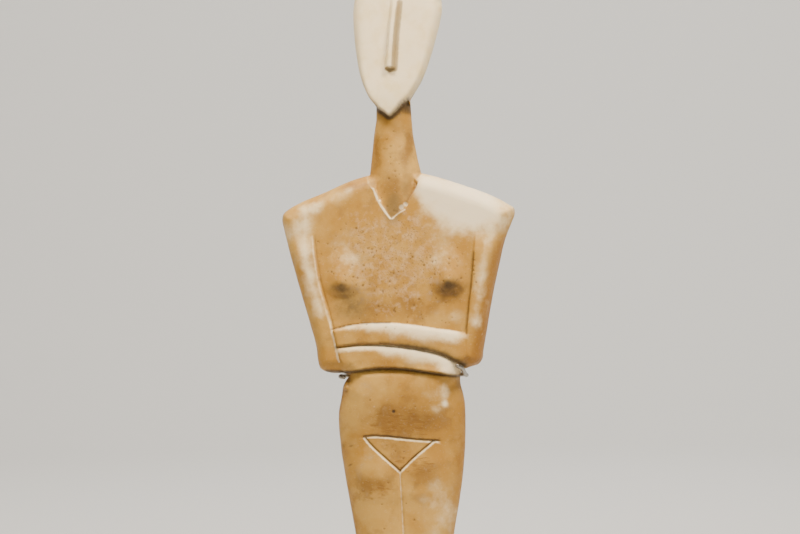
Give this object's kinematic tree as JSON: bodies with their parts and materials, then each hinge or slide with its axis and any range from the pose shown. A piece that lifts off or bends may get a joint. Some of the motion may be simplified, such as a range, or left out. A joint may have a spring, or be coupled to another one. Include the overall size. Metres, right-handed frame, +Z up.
{
  "type": "cycladic figurine",
  "caption": "Slender marble female figure with folded arms and a shield-shaped face, held upright on a low block by a bent steel rod mount.",
  "frame": {"origin": "middle of the base's underside", "axes": "+Z up along the figure, -Y towards the viewer that the figure faces, +X to that viewer's right"},
  "size_m": [0.15, 0.115, 0.4343],
  "materials": {
    "marble": "worn carved white marble, cream to honey-brown patina with dark pits",
    "mount_steel": "satin round steel rod",
    "base_stone": "honed dark basalt"
  },
  "bodies": {
    "root": {"figurine": "marble", "mount": "mount_steel", "base": "base_stone"}
  },
  "joints": []
}
